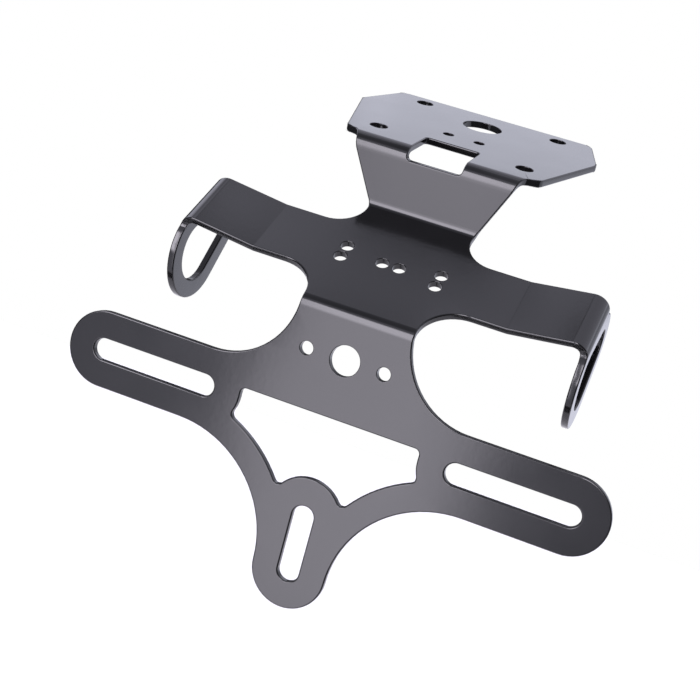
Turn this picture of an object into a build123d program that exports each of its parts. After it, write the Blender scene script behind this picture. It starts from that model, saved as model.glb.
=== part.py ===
from build123d import *
import os
from math import sin, cos, tan, radians, degrees, sqrt, hypot, atan2, acos, asin

# Tail tidy: the folded sheet bracket that carries a motorbike's number plate and
# indicators under the tail.  One flat blank, cut and folded, so it is one solid.
# Frame, mm: +Z up, the face that meets the bike is the top face at z = 0, the
# origin is the centre of its four bolt holes, the plate hangs towards -Y and
# down, and the bracket is symmetric about X = 0.
# On every panel below the top one, s runs down the outer face from the fold
# line above it and x runs across.

# ---------------------------------------------------------------- sheet
t = 3.5                 # thickness with its coat
r_in = 4.0              # inside radius of every fold
r_out = r_in + t
a_neck = 88.0           # slope of the neck below the horizontal, deg
a_mid = 20.75           # slope of the middle panel
a_low = 75.3            # slope of the plate panel
y_fold = 58.2           # the top face line meets the neck face line at y = -58.2
len_neck = 31.81        # fold line to fold line
len_mid = 75.98

# ---------------------------------------------------------------- top panel
bolt_x, bolt_y, bolt_d = 77.5, 70.0, 9.0       # four holes on a rectangle, M8
top_big_y, top_big_d = 19.35, 21.0             # hole for the wiring
top_small_x, top_small_y, top_small_d = 16.75, -13.6, 5.6
top_far_x, top_far_y = 55.8, 45.8              # far corner
top_tip_x, top_tip_y = 66.3, 9.6               # widest point
top_ear_x, top_ear_y = 50.67, -48.28           # corner of the ear beside the neck
top_far_r, top_tip_r, top_ear_r = 6.0, 6.0, 6.0
top_neck_x, top_neck_run = 44.3, 0.8           # half width where the fold starts, its slope
top_neck_r = 3.0                               # hollow corner between ear and neck
notch_x, notch_y, notch_s = 14.3, -30.6, 6.05  # half width, far edge, edge on the neck
notch_r_far, notch_r_near = 2.0, 2.5

# ---------------------------------------------------------------- neck
neck_x, neck_taper = 43.74, 0.4854              # half width = neck_x - taper * s

# ---------------------------------------------------------------- middle panel
arm_s0, arm_s1 = 18.95, 54.4                   # edges of the side arms
mid_up_x, mid_up_r = 43.05, 15.4               # rounded inner corners by the arms
mid_dn_x, mid_dn_r = 46.7, 18.8
pair_x, pair_s, pair_gap = 48.0, 38.3, 8.05    # upright pairs of small holes
level_gap = 8.5                                # level pair in the middle
mid_hole_d = 6.6

# ---------------------------------------------------------------- side arms
arm_fold_x, arm_lift = 63.5, 9.06              # the arm lifts here, deg
loop_x = 102.15                                # outer face of the loops
hole_big = (47.5, 22.15, 14.6)                 # down the panel, below it, radius
hole_small = (25.35, 20.7, 8.8)
edge_big = (48.05, 22.75, 23.0)
edge_small = (25.35, 20.9, 17.0)
loop_fillet = 2.5

# ---------------------------------------------------------------- plate panel
low_s, low_half = 54.5, 18.55                  # centre line and half height of arms
slot_x0, slot_x1, slot_w = 63.5, 117.2, 10.6
upper_r = 36.0                                 # concave edge above the arm
lug_half, lug_s = 18.55, 126.6                 # round-ended lug in the middle
lug_slot_s0, lug_slot_s1, lug_slot_w = 98.7, 126.4, 10.7
low_big_s, low_big_d = 21.7, 14.5
low_small_x, low_small_d = 38.25, 6.5
open_top, open_x = 49.3, 44.85                 # opening: level edge and side
open_band = 13.5                               # metal below the opening
open_r_top, open_r_side, open_r_low = 2.5, 3.0, 2.4
bump_s, bump_r = 98.2, 18.6                    # round top of the lug

rim_r, edge_r = 0.35, 0.7       # roundness of the holes' rims and of the longer cut edges


def slope(a):
    """direction down a panel and its outward normal"""
    a = radians(a)
    return Vector(0, -cos(a), -sin(a)), Vector(0, -sin(a), cos(a))


X = Vector(1, 0, 0)
d_top, n_top = slope(0)
d_neck, n_neck = slope(a_neck)
d_mid, n_mid = slope(a_mid)
d_low, n_low = slope(a_low)
p_neck = Vector(0, -y_fold, 0)
p_mid = p_neck + d_neck * len_neck
p_low = p_mid + d_mid * len_mid
pl_neck = Plane(origin=p_neck, x_dir=X, z_dir=n_neck)
pl_mid = Plane(origin=p_mid, x_dir=X, z_dir=n_mid)
pl_low = Plane(origin=p_low, x_dir=X, z_dir=n_low)


def face_of(*edges):
    return make_face(Wire(list(edges)))


def poly(*pts):
    return make_face(Wire([Line(pts[i], pts[(i + 1) % len(pts)]) for i in range(len(pts))]))


def both(half):
    """half outline joined with its mirror image"""
    return half + mirror(half, about=Plane.YZ)


def on_arc(c, r, deg):
    """point of a circle given in (x, s), as panel coordinates (x, -s)"""
    return (c[0] + r * cos(radians(deg)), -(c[1] + r * sin(radians(deg))))


def meet(c0, r0, c1, r1, side):
    """one crossing point of two circles"""
    dx, dy = c1[0] - c0[0], c1[1] - c0[1]
    dd = hypot(dx, dy)
    a = (r0 ** 2 - r1 ** 2 + dd ** 2) / (2 * dd)
    h = sqrt(r0 ** 2 - a ** 2) * side
    return c0[0] + (a * dx - h * dy) / dd, c0[1] + (a * dy + h * dx) / dd


def round_at(shape, pts, r, tol=0.05):
    vs = [v for v in shape.vertices() if any(hypot(v.X - p[0], v.Y - p[1]) < tol for p in pts)]
    return fillet(vs, r)


def pill(x0, y0, x1, y1, w):
    """round-ended slot between two end centres"""
    dx, dy = x1 - x0, y1 - y0
    return Pos((x0 + x1) / 2, (y0 + y1) / 2) * Rot(0, 0, degrees(atan2(dy, dx))) * \
        SlotCenterToCenter(hypot(dx, dy), w)


# ================================================================ folds
class Fold:
    """where two panels meet at p: faces d0/n0 above, d1/n1 below"""

    def __init__(self, p, d0, n0, d1, n1, convex):
        self.ang = d0.get_angle(d1)
        self.r = r_out if convex else r_in
        self.setback = self.r * tan(radians(self.ang) / 2)
        self.a, self.b = p - d0 * self.setback, p + d1 * self.setback
        self.c = self.a - n0 * self.r if convex else self.a + n0 * self.r
        self.a2, self.b2 = self.a - n0 * t, self.b - n1 * t
        self.convex = convex

    def middle(self, u, v):
        m = (u + v) * 0.5 - self.c
        return self.c + m * ((u - self.c).length / m.length)

    def section(self):
        return face_of(ThreePointArc(self.a, self.middle(self.a, self.b), self.b),
                       Line(self.b, self.b2),
                       ThreePointArc(self.b2, self.middle(self.a2, self.b2), self.a2),
                       Line(self.a2, self.a))

    def solid(self, width, steps=1):
        """width: one half width, or a function of the way round, 0 to 1"""
        if not callable(width):
            return extrude(self.section(), amount=width, both=True, dir=X)
        e0 = (self.a - self.c).normalized()
        e1 = (self.b - self.c).normalized()
        q = (e1 - e0 * e0.dot(e1)).normalized()
        r0 = self.r - (t if self.convex else 0) - 1.0
        r1 = self.r + (0 if self.convex else t) + 1.0
        wires = []
        for i in range(steps + 1):
            u = i / steps
            th = radians(self.ang) * u
            e = e0 * cos(th) + q * sin(th)
            w = width(u)
            # flat slices bulge past the round, so the outer radius is raised
            k = 1 / cos(radians(self.ang) / steps / 2)
            pts = [self.c + e * r0 - X * w, self.c + e * r0 + X * w,
                   self.c + e * r1 * k + X * w, self.c + e * r1 * k - X * w]
            wires.append(Wire([Line(pts[j], pts[(j + 1) % 4]) for j in range(4)]))
        keep = Solid.make_loft(wires, ruled=steps == 1)
        return extrude(self.section(), amount=70, both=True, dir=X) & keep


f_neck = Fold(p_neck, d_top, n_top, d_neck, n_neck, True)
f_mid = Fold(p_mid, d_neck, n_neck, d_mid, n_mid, False)
f_low = Fold(p_low, d_mid, n_mid, d_low, n_low, True)

def ease(w_a, slope_a, w_b, slope_b, fold):
    """half width round a fold that runs smoothly out of both panels' edges"""
    length = radians(fold.ang) * (r_in + t / 2)
    ma, mb = slope_a * length, slope_b * length
    return lambda u: ((2 * u ** 3 - 3 * u ** 2 + 1) * w_a + (u ** 3 - 2 * u ** 2 + u) * ma
                      + (3 * u ** 2 - 2 * u ** 3) * w_b + (u ** 3 - u ** 2) * mb)


# ================================================================ top panel
# the hollow corner turns from the neck's edge into the ear's front edge
y_start = -(y_fold - f_neck.setback)
h0 = atan2(1.0, top_neck_run)
hollow = (top_neck_x + top_neck_r * sin(h0), y_start - top_neck_r * cos(h0))
ear_dx, ear_dy = top_ear_x - hollow[0], top_ear_y - hollow[1]
h1 = atan2(ear_dy, ear_dx) - asin(top_neck_r / hypot(ear_dx, ear_dy))


def on_hollow(h):
    return (hollow[0] - top_neck_r * sin(h), hollow[1] + top_neck_r * cos(h))


top = face_of(Line((0, y_start), (top_neck_x, y_start)),
              ThreePointArc((top_neck_x, y_start), on_hollow((h0 + h1) / 2), on_hollow(h1)),
              Line(on_hollow(h1), (top_ear_x, top_ear_y)),
              Line((top_ear_x, top_ear_y), (top_tip_x, top_tip_y)),
              Line((top_tip_x, top_tip_y), (top_far_x, top_far_y)),
              Line((top_far_x, top_far_y), (0, top_far_y)), Line((0, top_far_y), (0, y_start)))
top = round_at(top, [(top_far_x, top_far_y)], top_far_r)
top = round_at(top, [(top_tip_x, top_tip_y)], top_tip_r)
top = round_at(top, [(top_ear_x, top_ear_y)], top_ear_r)
top = both(top)
for sx in (-1, 1):
    for sy in (-1, 1):
        top -= Pos(sx * bolt_x / 2, sy * bolt_y / 2) * Circle(bolt_d / 2)
    top -= Pos(sx * top_small_x / 2, top_small_y) * Circle(top_small_d / 2)
top -= Pos(0, top_big_y) * Circle(top_big_d / 2)
top_solid = extrude(top, amount=-t)

# ================================================================ neck
s0, s1 = f_neck.setback, len_neck - f_mid.setback
w0, w1 = neck_x - neck_taper * s0, neck_x - neck_taper * s1
neck = poly((-w0, -s0), (w0, -s0), (w1, -s1), (-w1, -s1))
neck_solid = extrude(pl_neck * neck, amount=-t)
top_fold = f_neck.solid(ease(top_neck_x, -top_neck_run, w0, -neck_taper, f_neck), 5)

# the notch runs over the fold at one width: one outline seen from above, the
# other seen square to the neck
notch_top = poly((-notch_x, -(y_fold - s0) - 0.01), (notch_x, -(y_fold - s0) - 0.01),
                 (notch_x, notch_y), (-notch_x, notch_y))
notch_top = round_at(notch_top, [(notch_x, notch_y), (-notch_x, notch_y)], notch_r_far)
notch_neck = poly((-notch_x, 30.0), (notch_x, 30.0), (notch_x, -notch_s), (-notch_x, -notch_s))
notch_neck = round_at(notch_neck, [(notch_x, -notch_s), (-notch_x, -notch_s)], notch_r_near)
cut_top = extrude(Pos(0, 0, -t - 1) * notch_top, amount=t + 2)
cut_neck = extrude(pl_neck * Pos(0, 0, -11.5) * notch_neck, amount=30)
cut_neck = cut_neck & Pos(0, -(y_fold - s0) - 15, -20) * Box(40, 30, 60)

# ================================================================ middle panel
m0, m1 = f_mid.setback, len_mid - f_low.setback
c_up, c_dn = (mid_up_x, arm_s0 - mid_up_r), (mid_dn_x, arm_s1 + mid_dn_r)
xa = arm_fold_x - r_in * tan(radians(arm_lift) / 2)
waist_up = mid_up_x - sqrt(mid_up_r ** 2 - (m0 - c_up[1]) ** 2)
waist_low = mid_dn_x - sqrt(mid_dn_r ** 2 - (m1 - c_dn[1]) ** 2)
mid = face_of(
    Line((0, -m0), (waist_up, -m0)),
    ThreePointArc((waist_up, -m0), on_arc(c_up, mid_up_r, 135), (mid_up_x, -arm_s0)),
    Line((mid_up_x, -arm_s0), (xa, -arm_s0)), Line((xa, -arm_s0), (xa, -arm_s1)),
    Line((xa, -arm_s1), (mid_dn_x, -arm_s1)),
    ThreePointArc((mid_dn_x, -arm_s1), on_arc(c_dn, mid_dn_r, 225), (waist_low, -m1)),
    Line((waist_low, -m1), (0, -m1)), Line((0, -m1), (0, -m0)))
mid = both(mid)
for sx in (-1, 1):
    for k in (-1, 1):
        mid -= Pos(sx * pair_x / 2, -(pair_s + k * pair_gap / 2)) * Circle(mid_hole_d / 2)
    mid -= Pos(sx * level_gap / 2, -pair_s) * Circle(mid_hole_d / 2)
mid_solid = extrude(pl_mid * mid, amount=-t)
slope_up = (m0 - c_up[1]) / (mid_up_x - waist_up)
slope_dn = -(c_dn[1] - m1) / (mid_dn_x - waist_low)
mid_fold = f_mid.solid(ease(w1, -neck_taper, waist_up, slope_up, f_mid), 4)

# ================================================================ side arms
# seen along the arm's edges: x outward, y up off the middle panel's face
pl_arm = Plane(origin=p_mid, x_dir=X, z_dir=d_mid)
be = radians(arm_lift)
flat, up = Vector(1, 0), Vector(0, 1)
along, above = Vector(cos(be), sin(be)), Vector(-sin(be), cos(be))
turn = 90 + arm_lift
corner0 = Vector(arm_fold_x, 0)
corner1 = Vector(loop_x, (loop_x - arm_fold_x) * tan(be))
f_lift = Fold(corner0, flat, up, along, above, False)
f_end = Fold(corner1, along, above, -up, flat, True)
arm_section = face_of(
    ThreePointArc(f_lift.a, f_lift.middle(f_lift.a, f_lift.b), f_lift.b),
    Line(f_lift.b, f_end.a), Line(f_end.a, f_end.a2), Line(f_end.a2, f_lift.b2),
    ThreePointArc(f_lift.b2, f_lift.middle(f_lift.a2, f_lift.b2), f_lift.a2),
    Line(f_lift.a2, f_lift.a))
arm = extrude(pl_arm * Pos(0, 0, arm_s0) * arm_section, amount=arm_s1 - arm_s0, dir=d_mid)
deep = -(edge_big[1] + edge_big[2] + 4.0)
end_section = face_of(
    ThreePointArc(f_end.a, f_end.middle(f_end.a, f_end.b), f_end.b),
    Line(f_end.b, Vector(loop_x, deep)), Line(Vector(loop_x, deep), Vector(loop_x - t, deep)),
    Line(Vector(loop_x - t, deep), f_end.b2),
    ThreePointArc(f_end.b2, f_end.middle(f_end.a2, f_end.b2), f_end.a2),
    Line(f_end.a2, f_end.a))
blank = extrude(pl_arm * end_section, amount=85.0, dir=d_mid)


def egg(big, small):
    """two circles wrapped by their common tangents, in (s, -depth)"""
    (bx, by, br), (cx, cy, cr) = big, small
    by, cy = -by, -cy
    base = atan2(cy - by, cx - bx)
    al = acos((br - cr) / hypot(cx - bx, cy - by))

    def pt(x, y, r, a):
        return (x + r * cos(a), y + r * sin(a))

    return face_of(
        ThreePointArc(pt(bx, by, br, base + al), pt(bx, by, br, base + radians(180)),
                      pt(bx, by, br, base - al)),
        Line(pt(bx, by, br, base - al), pt(cx, cy, cr, base - al)),
        ThreePointArc(pt(cx, cy, cr, base - al), pt(cx, cy, cr, base), pt(cx, cy, cr, base + al)),
        Line(pt(cx, cy, cr, base + al), pt(bx, by, br, base + al)))


strip = Pos((arm_s0 + arm_s1) / 2, 7.0) * Rectangle(arm_s1 - arm_s0, 42.0)
loop = egg(edge_big, edge_small) + strip
inner = [v for v in loop.vertices()
         if (abs(v.X - arm_s1) < 0.02 or abs(v.X - arm_s0) < 0.02) and v.Y < 10.0]
loop = fillet(inner, loop_fillet)
loop -= egg(hole_big, hole_small)
pl_loop = Plane(origin=p_mid + X * 80.0, x_dir=d_mid, z_dir=d_mid.cross(n_mid))
loop_keep = extrude(pl_loop * loop, amount=30.0, dir=X)
loop_solid = blank & loop_keep

# ================================================================ plate panel
l0 = f_low.setback
s_up, s_dn = low_s - low_half, low_s + low_half
upper_c = (waist_low + sqrt(upper_r ** 2 - (l0 - (s_up - upper_r)) ** 2), s_up - upper_r)
lower_r = lug_s - s_dn
lower_c = (lug_half + lower_r, lug_s)
slope_low = (l0 - upper_c[1]) / (upper_c[0] - waist_low)
low_fold = f_low.solid(ease(waist_low, slope_dn, waist_low, slope_low, f_low), 4)
low = face_of(
    Line((0, -l0), (waist_low, -l0)),
    ThreePointArc((waist_low, -l0), on_arc(upper_c, upper_r, 132), (upper_c[0], -s_up)),
    Line((upper_c[0], -s_up), (slot_x1, -s_up)),
    ThreePointArc((slot_x1, -s_up), (slot_x1 + low_half, -low_s), (slot_x1, -s_dn)),
    Line((slot_x1, -s_dn), (lower_c[0], -s_dn)),
    ThreePointArc((lower_c[0], -s_dn), on_arc(lower_c, lower_r, 225), (lug_half, -lug_s)),
    ThreePointArc((lug_half, -lug_s), on_arc((0, lug_s), lug_half, 45), (0, -lug_s - lug_half)),
    Line((0, -lug_s - lug_half), (0, -l0)))
low = both(low)
for sx in (-1, 1):
    low -= pill(sx * slot_x0, -low_s, sx * slot_x1, -low_s, slot_w)
    low -= Pos(sx * low_small_x / 2, -low_big_s) * Circle(low_small_d / 2)
low -= pill(0, -lug_slot_s0, 0, -lug_slot_s1, lug_slot_w)
low -= Pos(0, -low_big_s) * Circle(low_big_d / 2)

# the opening: level top, sides round the slot ends, lower edges that follow the
# arms at one width, and the round top of the lug standing up into it
side_r = slot_x0 - open_x
band_r = lower_r + open_band
pc = meet((slot_x0, low_s), side_r, lower_c, band_r, 1)
pd = meet((slot_x0, low_s), side_r, lower_c, band_r, -1)
p_side = min(pc, pd)
pe = meet((0, bump_s), bump_r, lower_c, band_r, 1)
pf = meet((0, bump_s), bump_r, lower_c, band_r, -1)
p_low_v = min(pe, pf, key=lambda p: p[1])


def mid_arc(c, r, p, q):
    mx, my = (p[0] + q[0]) / 2 - c[0], (p[1] + q[1]) / 2 - c[1]
    k = r / hypot(mx, my)
    return (c[0] + mx * k, -(c[1] + my * k))


opening = face_of(
    Line((0, -open_top), (open_x, -open_top)), Line((open_x, -open_top), (open_x, -low_s)),
    ThreePointArc((open_x, -low_s), mid_arc((slot_x0, low_s), side_r, (open_x, low_s), p_side),
                  (p_side[0], -p_side[1])),
    ThreePointArc((p_side[0], -p_side[1]), mid_arc(lower_c, band_r, p_side, p_low_v),
                  (p_low_v[0], -p_low_v[1])),
    ThreePointArc((p_low_v[0], -p_low_v[1]), mid_arc((0, bump_s), bump_r, p_low_v, (0, bump_s - bump_r)),
                  (0, -(bump_s - bump_r))),
    Line((0, -(bump_s - bump_r)), (0, -open_top)))
opening = round_at(opening, [(open_x, -open_top)], open_r_top)
opening = round_at(opening, [(p_side[0], -p_side[1])], open_r_side)
opening = round_at(opening, [(p_low_v[0], -p_low_v[1])], open_r_low)
low -= both(opening)
low_solid = extrude(pl_low * low, amount=-t)

# ================================================================ one sheet
side = arm + loop_solid
pieces = [top_solid, top_fold, neck_solid, mid_fold, mid_solid, low_fold, low_solid,
          side, mirror(side, about=Plane.YZ)]
sheet = pieces[0]
for piece in pieces[1:]:
    sheet = sheet + piece
sheet = sheet - cut_top - cut_neck


# ================================================================ cut edges
def cut_rims(shape):
    """edges where a face of the sheet meets a cut edge, in groups that touch"""
    sides = {}
    for f in shape.faces():
        for e in f.edges():
            sides.setdefault(e, []).append(f)
    rims = []
    for e, fs in sides.items():
        m = e.position_at(0.5)
        if len(fs) == 2 and abs(fs[0].normal_at(m).dot(fs[1].normal_at(m))) < 0.5:
            rims.append(e)
    at = {}
    for i, e in enumerate(rims):
        for v in e.vertices():
            at.setdefault((round(v.X, 3), round(v.Y, 3), round(v.Z, 3)), []).append(i)
    groups, seen = [], set()
    for i in range(len(rims)):
        if i in seen:
            continue
        todo, group = [i], []
        seen.add(i)
        while todo:
            k = todo.pop()
            group.append(k)
            for v in rims[k].vertices():
                for j in at[(round(v.X, 3), round(v.Y, 3), round(v.Z, 3))]:
                    if j not in seen:
                        seen.add(j)
                        todo.append(j)
        groups.append([rims[k] for k in group])
    return groups


# the coat rounds the rims of every hole, and more so those of the slots, rings,
# notch and opening
sheet = sheet.solids()[0]
groups = sorted(cut_rims(sheet), key=len)
print("rims", [len(g) for g in groups])
hole_rims = [e for g in groups if len(g) == 1 for e in g]
slot_rims = [e for g in groups if 1 < len(g) < 40 for e in g]
sheet = sheet.fillet(edge_r, slot_rims).solids()[0]
at_rims = [e.center() for e in hole_rims]
hole_rims = [e for e in sheet.edges()
             if e.geom_type == GeomType.CIRCLE and any((e.center() - c).length < 0.001 for c in at_rims)]
sheet = sheet.fillet(rim_r, hole_rims)

print("solids", len(sheet.solids()), "volume", round(sheet.volume, 1), "valid", sheet.is_valid)
bb = sheet.bounding_box()
print("box", [round(v, 2) for v in (bb.min.X, bb.min.Y, bb.min.Z, bb.max.X, bb.max.Y, bb.max.Z)])

os.makedirs("parts", exist_ok=True)
export_step(sheet, "parts/tail_tidy_bracket.step")
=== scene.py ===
import math

import bpy
from mathutils import Matrix, Vector

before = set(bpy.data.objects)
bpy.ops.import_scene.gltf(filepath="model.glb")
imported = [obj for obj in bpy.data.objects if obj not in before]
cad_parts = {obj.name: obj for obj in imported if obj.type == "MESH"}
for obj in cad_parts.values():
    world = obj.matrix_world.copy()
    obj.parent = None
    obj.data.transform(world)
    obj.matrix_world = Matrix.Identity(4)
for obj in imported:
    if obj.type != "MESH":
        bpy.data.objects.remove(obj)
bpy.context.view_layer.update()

# ------------------------------------------------------------------ camera
# rows of the view rotation (right, down, into the picture) and the offset in mm
R = ((0.9257443162, 0.3212022428, 0.1995659795),
     (0.3209251526, -0.3882028281, -0.8638898140),
     (-0.2000112681, 0.8637868276, -0.4624584405))
T = (17.39048, -142.99838, 601.15645)
FOCAL_PX, CX, CY, SIZE = 1155.6824, 438.2692, 408.7680, 700.0

rows = [Vector(r) for r in R]
pos = -(rows[0] * T[0] + rows[1] * T[1] + rows[2] * T[2]) / 1000.0
cam_data = bpy.data.cameras.new("camera")
cam_data.sensor_fit = "HORIZONTAL"
cam_data.sensor_width = 36.0
cam_data.lens = FOCAL_PX / SIZE * 36.0
cam_data.shift_x = (SIZE / 2 - CX) / SIZE
cam_data.shift_y = (CY - SIZE / 2) / SIZE
cam_data.clip_start = 0.01
cam_data.clip_end = 50.0
cam = bpy.data.objects.new("camera", cam_data)
bpy.context.scene.collection.objects.link(cam)
m = Matrix.Identity(4)
for i in range(3):
    m[i][0] = rows[0][i]
    m[i][1] = -rows[1][i]
    m[i][2] = -rows[2][i]
    m[i][3] = pos[i]
cam.matrix_world = m
bpy.context.scene.camera = cam
bpy.context.scene.view_settings.view_transform = "Standard"
bpy.context.scene.view_settings.look = "None"


# ------------------------------------------------------------------ node helpers
class Nodes:
    """short hand for one node tree"""

    def __init__(self, tree):
        self.tree = tree
        tree.nodes.clear()

    def new(self, kind, **settings):
        node = self.tree.nodes.new(kind)
        for k, v in settings.items():
            setattr(node, k, v)
        return node

    def put(self, value, socket):
        if isinstance(value, bpy.types.NodeSocket):
            self.tree.links.new(value, socket)
        else:
            socket.default_value = value

    def math(self, op, a, b=0.0, c=0.0):
        node = self.new("ShaderNodeMath", operation=op)
        for v, s in zip((a, b, c), node.inputs):
            self.put(v, s)
        return node.outputs[0]

    def ramp(self, x, lo, hi, a=0.0, b=1.0):
        """a up to lo, b from hi on, and a smooth change between"""
        node = self.new("ShaderNodeMapRange", interpolation_type="SMOOTHSTEP")
        for v, s in zip((x, lo, hi, a, b), node.inputs):
            self.put(v, s)
        return node.outputs[0]


# ------------------------------------------------------------------ coat
# satin black powder coat: a fine grain and a soft orange-peel over a dark base
coat = bpy.data.materials.new("black_coat")
coat.use_nodes = True
n = Nodes(coat.node_tree)
out = n.new("ShaderNodeOutputMaterial")
bsdf = n.new("ShaderNodeBsdfPrincipled")
n.put(bsdf.outputs[0], out.inputs[0])
bsdf.inputs["IOR"].default_value = 1.5
spot = n.new("ShaderNodeTexCoord").outputs["Object"]


def noise(scale, detail, rough=0.5):
    node = n.new("ShaderNodeTexNoise", noise_dimensions="3D")
    n.put(spot, node.inputs["Vector"])
    node.inputs["Scale"].default_value = scale
    node.inputs["Detail"].default_value = detail
    node.inputs["Roughness"].default_value = rough
    return node.outputs["Fac"]


peel = noise(420.0, 2.0)
grain = noise(2600.0, 3.0, 0.6)
cloud = noise(38.0, 3.0)
tone = n.new("ShaderNodeValToRGB")
n.put(cloud, tone.inputs[0])
tone.color_ramp.elements[0].position = 0.35
tone.color_ramp.elements[0].color = (0.0026, 0.0025, 0.0027, 1.0)
tone.color_ramp.elements[1].position = 0.65
tone.color_ramp.elements[1].color = (0.0036, 0.0035, 0.0038, 1.0)
n.put(tone.outputs[0], bsdf.inputs["Base Color"])
n.put(n.math("ADD", n.ramp(cloud, 0.35, 0.65, 0.105, 0.125), n.math("MULTIPLY", grain, 0.02)),
      bsdf.inputs["Roughness"])
b1 = n.new("ShaderNodeBump")
b1.inputs["Strength"].default_value = 1.0
b1.inputs["Distance"].default_value = 0.000009
n.put(peel, b1.inputs["Height"])
b2 = n.new("ShaderNodeBump")
b2.inputs["Strength"].default_value = 1.0
b2.inputs["Distance"].default_value = 0.000002
n.put(grain, b2.inputs["Height"])
n.put(b1.outputs[0], b2.inputs["Normal"])
n.put(b2.outputs[0], bsdf.inputs["Normal"])

for name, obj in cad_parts.items():
    obj.data.materials.clear()
    obj.data.materials.append(coat)
    # the coat also rounds the outline's cut edges, which CAD leaves square
    weld = obj.modifiers.new("closed_seams", "WELD")
    weld.merge_threshold = 0.000002
    bev = obj.modifiers.new("rounded_edges", "BEVEL")
    bev.use_clamp_overlap = False
    bev.limit_method = "ANGLE"
    bev.angle_limit = math.radians(70.0)
    bev.width = 0.0007
    bev.segments = 4
    flat = obj.modifiers.new("flat_panels", "WEIGHTED_NORMAL")
    flat.mode = "FACE_AREA"
    flat.weight = 50
    flat.keep_sharp = False

# ------------------------------------------------------------------ floor
bpy.ops.mesh.primitive_plane_add(size=2.6, location=(0.0, 0.0, -1.0))
floor = bpy.context.object
floor.name = "floor"
white = bpy.data.materials.new("floor_white")
white.use_nodes = True
fb = white.node_tree.nodes["Principled BSDF"]
fb.inputs["Base Color"].default_value = (0.68, 0.68, 0.68, 1.0)
fb.inputs["Roughness"].default_value = 1.0
fb.inputs["Emission Color"].default_value = (1.0, 1.0, 1.0, 1.0)
fb.inputs["Emission Strength"].default_value = 0.1
floor.data.materials.append(white)

# ------------------------------------------------------------------ studio light
# a white room with a dim ceiling, a pale wall low at the back, one tall strip
# light in front, left of the object, and a wide light on either side of it
world = bpy.data.worlds.new("studio")
bpy.context.scene.world = world
world.use_nodes = True
w = Nodes(world.node_tree)
ray = w.new("ShaderNodeTexCoord").outputs["Generated"]
split = w.new("ShaderNodeSeparateXYZ")
w.put(ray, split.inputs[0])
x, y, z = split.outputs
# angle from straight up, through the front (90) and the back (-90)
roll = w.math("MULTIPLY", w.math("ARCTAN2", w.math("MULTIPLY", y, -1.0), z), 180 / math.pi)
# angle out of the object's middle plane towards the left
side = w.math("MULTIPLY", w.math("ARCSINE", w.math("MULTIPLY", x, -1.0)), 180 / math.pi)


def total(*terms):
    s = terms[0]
    for term in terms[1:]:
        s = w.math("ADD", s, term)
    return s


room = total(w.math("MULTIPLY", w.ramp(roll, -25.4, -17.6, 1.10, 0.45),
                    total(1.0,
                          w.math("MULTIPLY", w.ramp(side, 18.0, 23.0, 0.0, 0.22), w.ramp(roll, -29.6, -28.2)),
                          w.math("MULTIPLY", w.math("MULTIPLY", w.ramp(side, 19.2, 21.4, 0.12, -0.25),
                                                    w.ramp(side, 17.6, 18.6)),
                                 w.ramp(roll, -29.6, -28.2, 1.0, 0.0)),
                          w.math("MULTIPLY", w.math("MULTIPLY", w.ramp(roll, -25.2, -23.3, 0.0, 0.60),
                                                    w.ramp(side, 9.2, 11.2, 0.45, 1.0)),
                                 w.ramp(side, 12.2, 14.0, 1.0, 0.0)))),
             w.math("MULTIPLY", w.math("MULTIPLY", w.ramp(roll, -28.5, -26.6, -1.0, -0.04),
                                       w.ramp(roll, -30.2, -29.0)),
                    w.math("MULTIPLY", w.ramp(side, 10.5, 12.5), w.ramp(side, 17.5, 19.5, 1.0, 0.0))),
             w.math("MULTIPLY", w.math("MULTIPLY", w.ramp(roll, -74.0, -62.0), w.ramp(roll, -42.0, -34.0, 1.0, 0.0)),
                    w.ramp(side, 32.0, 44.0, 0.0, 1.0)),
             w.ramp(roll, -14.0, -2.0, 0.0, -0.10),
             w.math("MULTIPLY", w.ramp(roll, 14.0, 26.0, 0.0, 0.75), w.ramp(side, 1.0, 8.0, 0.55, 1.0)))
# the front of the room is dark far out to both sides, which draws the thin dark
# outline of the panels' rounded edges
room = w.math("MULTIPLY", room,
              w.math("SUBTRACT", 1.0,
                     w.math("MULTIPLY", w.ramp(roll, 16.0, 30.0, 0.0, 0.93),
                            total(w.ramp(side, -7.0, -1.0, 1.0, 0.0), w.ramp(side, 30.0, 36.0)))))
back = total(w.ramp(roll, -77.5, -74.5, 0.46, 0.65), w.ramp(roll, -73.2, -70.0, 0.0, -0.60))
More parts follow.
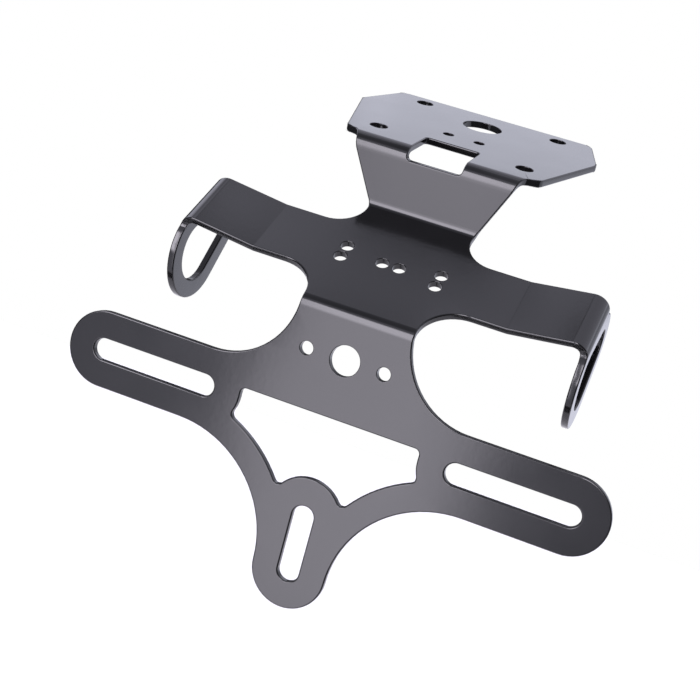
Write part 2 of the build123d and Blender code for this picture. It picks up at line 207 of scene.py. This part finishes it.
# low at the back the room is dark to the left and behind, and pale again to the
# right and further down
dark = w.math("MULTIPLY", w.ramp(roll, -84.0, -79.0, 1.0, 0.0),
              w.math("MULTIPLY", w.ramp(side, -16.0, 0.0, 0.50, 0.95),
                     w.math("SUBTRACT", 1.0,
                            w.math("MULTIPLY", w.ramp(roll, -113.5, -103.5, 0.66, 0.0),
                                   w.ramp(side, -4.0, 4.0, 1.0, 0.0)))))
room = w.math("MULTIPLY", room, w.math("SUBTRACT", 1.0, dark))
back = w.math("MULTIPLY", back, w.math("SUBTRACT", 1.0, dark))
strip = w.math("MULTIPLY",
               total(w.ramp(roll, 29.4, 37.2, 0.0, 8.0), w.ramp(roll, 62.0, 86.0, 0.0, -4.0),
                     w.ramp(roll, 96.0, 106.0, 0.0, -0.85), w.ramp(roll, 112.0, 118.0, 0.0, -3.1)),
               w.math("MULTIPLY", w.ramp(side, 7.5, 10.1), w.ramp(side, 19.4, 22.5, 1.0, 0.0)))
# two wide lights high at the front, either side of the strip; only rounded
# edges and the folds' ends mirror them
wings = w.math("MULTIPLY",
               total(w.ramp(roll, 28.0, 36.0, 0.0, 10.0), w.ramp(roll, 72.0, 84.0, 0.0, -10.0)),
               total(w.math("MULTIPLY", w.ramp(side, -14.0, -10.0), w.ramp(side, 1.0, 4.0, 1.0, 0.0)),
                     w.math("MULTIPLY", w.ramp(side, 22.8, 24.5), w.ramp(side, 36.0, 40.0, 1.0, 0.0))))


def light(colour, strength):
    node = w.new("ShaderNodeBackground")
    node.inputs[0].default_value = colour + (1.0,)
    w.put(strength, node.inputs[1])
    return node.outputs[0]


def both(a, b):
    node = w.new("ShaderNodeAddShader")
    w.put(a, node.inputs[0])
    w.put(b, node.inputs[1])
    return node.outputs[0]


lit = both(both(light((0.96, 0.95, 1.12), room), light((0.93, 1.0, 1.12), back)),
           light((1.0, 0.955, 1.06), total(strip, wings)))
seen = w.new("ShaderNodeLightPath").outputs["Is Camera Ray"]
mix = w.new("ShaderNodeMixShader")
w.put(seen, mix.inputs[0])
w.put(lit, mix.inputs[1])
w.put(light((1.0, 1.0, 1.0), 1.0), mix.inputs[2])
wo = w.new("ShaderNodeOutputWorld")
w.put(mix.outputs[0], wo.inputs[0])
